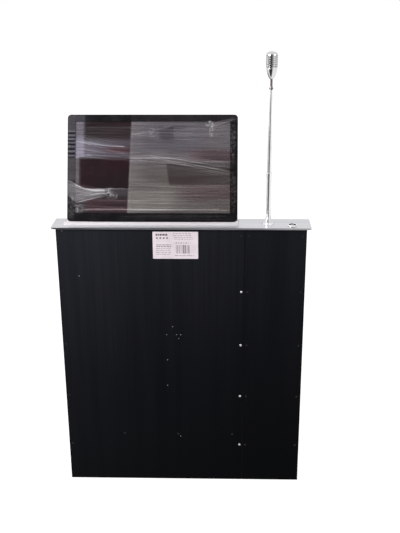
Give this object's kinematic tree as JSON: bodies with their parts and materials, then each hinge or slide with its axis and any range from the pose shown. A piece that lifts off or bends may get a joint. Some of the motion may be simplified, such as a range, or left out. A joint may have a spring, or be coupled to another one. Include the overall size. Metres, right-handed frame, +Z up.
{
  "type": "pop-up monitor and microphone lift",
  "caption": "Slim drop-in lectern unit with an aluminium top plate, a monitor that rises and leans back, a rising microphone mast and a push button.",
  "frame": {"origin": "centre of the housing's underside", "axes": "+X to the right of someone facing the screen, +Y to the back, +Z up; the screen and the front covers face -Y"},
  "size_m": [0.576, 0.1213, 1.025],
  "materials": {
    "brushed": "satin brushed",
    "black_paint": "black powder coat, fine grain",
    "zinc": "zinc plated",
    "steel": "ground bright",
    "chrome": "polished",
    "dark_metal": "dark anodised",
    "rubber": "matte",
    "black_plastic": "fine texture",
    "screen": "glossy dark",
    "film": "clear, wrinkled",
    "paper": "printed paper label",
    "board": "solder-masked board"
  },
  "bodies": {
    "housing": {"top_plate": "brushed", "front_cover_monitor_bay": "black_paint", "front_cover_mic_bay": "black_paint", "label_plate": "paper", "rear_cover": "black_paint", "side_panel_left": "black_paint", "side_panel_right": "black_paint", "bay_divider": "zinc", "bottom_plate": "black_paint", "equipment_shelf": "zinc", "power_supply": "zinc", "control_board": "board", "mains_inlet": "black_plastic", "video_socket": "steel", "network_socket": "steel", "mic_output_socket": "dark_metal", "guide_rod_left": "steel", "guide_rod_right": "steel", "lower_bracket_left": "zinc", "lower_bracket_right": "zinc", "idler_bracket_left": "zinc", "idler_bracket_right": "zinc", "lift_belt_left": "rubber", "lift_belt_right": "rubber", "lift_gearbox": "dark_metal", "lift_motor": "zinc", "mic_lower_bracket": "zinc", "mic_guide_rod": "steel", "mic_belt": "rubber", "mic_motor": "dark_metal", "mic_idler_bracket": "zinc", "button_bezel": "chrome", "button_contact_block": "black_plastic", "button_nut": "steel"},
    "carriage": {"carriage_frame": "zinc", "carriage_end_left": "dark_metal", "carriage_end_right": "dark_metal", "carrier_plate": "brushed", "hinge_rod": "steel", "tilt_motor": "zinc"},
    "monitor": {"monitor_bezel": "black_plastic", "lcd_panel": "screen", "monitor_rear_shell": "black_plastic", "display_board": "board", "protective_film": "film"},
    "lift_shaft": {"drive_shaft": "steel"},
    "left_idler": {"idler_pulley_left": "steel"},
    "right_idler": {"idler_pulley_right": "steel"},
    "mast": {"mic_carriage": "dark_metal", "mast_lower_tube": "chrome", "mast_upper_tube": "chrome", "mast_base_cone": "chrome", "mic_neck": "dark_metal", "mic_body": "chrome", "mic_grille": "steel"},
    "mic_driver": {"mic_drive_pulley": "steel"},
    "mic_idler": {"mic_idler_pulley": "steel"},
    "button": {"push_button": "chrome"},
    "rocker": {"power_rocker": "black_plastic"}
  },
  "joints": [
    {"name": "monitor_lift", "type": "slide", "parent": "housing", "child": "carriage", "axis": [0, 0, 1], "range_m": [-0.244, 0]},
    {"name": "monitor_tilt", "type": "hinge", "parent": "carriage", "child": "monitor", "pos_m": [-0.067, -0.005, 0.6545], "axis": [-1, 0, 0], "range_deg": [-21.1, 0.1]},
    {"name": "lift_shaft_spin", "type": "hinge", "parent": "housing", "child": "lift_shaft", "pos_m": [-0.067, -0.006, 0.305], "axis": [1, 0, 0], "range_deg": [-1705.9, 1]},
    {"name": "left_idler_spin", "type": "hinge", "parent": "housing", "child": "left_idler", "pos_m": [-0.267, -0.006, 0.628], "axis": [1, 0, 0], "range_deg": [-1705.9, 1]},
    {"name": "right_idler_spin", "type": "hinge", "parent": "housing", "child": "right_idler", "pos_m": [0.133, -0.006, 0.628], "axis": [1, 0, 0], "range_deg": [-1705.9, 1]},
    {"name": "mic_lift", "type": "slide", "parent": "housing", "child": "mast", "axis": [0, 0, 1], "range_m": [-0.378, 0]},
    {"name": "mic_drive_spin", "type": "hinge", "parent": "housing", "child": "mic_driver", "pos_m": [0.252, -0.014, 0.14], "axis": [0, 1, 0], "range_deg": [-2642.2, 1]},
    {"name": "mic_idler_spin", "type": "hinge", "parent": "housing", "child": "mic_idler", "pos_m": [0.252, -0.014, 0.595], "axis": [0, 1, 0], "range_deg": [-2642.2, 1]},
    {"name": "button_press", "type": "slide", "parent": "housing", "child": "button", "axis": [0, 0, -1], "range_m": [0, 0.0022], "stiffness_N_per_m": 900},
    {"name": "power_rocker_turn", "type": "hinge", "parent": "housing", "child": "rocker", "pos_m": [-0.21, 0.029, 0.045], "axis": [1, 0, 0], "range_deg": [-18, 0]}
  ],
  "couplings": [
    {"joint": "monitor_tilt", "follows": "monitor_lift", "rad_per_m": 1.5021},
    {"joint": "lift_shaft_spin", "follows": "monitor_lift", "rad_per_m": 121.95},
    {"joint": "left_idler_spin", "follows": "monitor_lift", "rad_per_m": 121.95},
    {"joint": "right_idler_spin", "follows": "monitor_lift", "rad_per_m": 121.95},
    {"joint": "mic_drive_spin", "follows": "mic_lift", "rad_per_m": 121.95},
    {"joint": "mic_idler_spin", "follows": "mic_lift", "rad_per_m": 121.95}
  ]
}
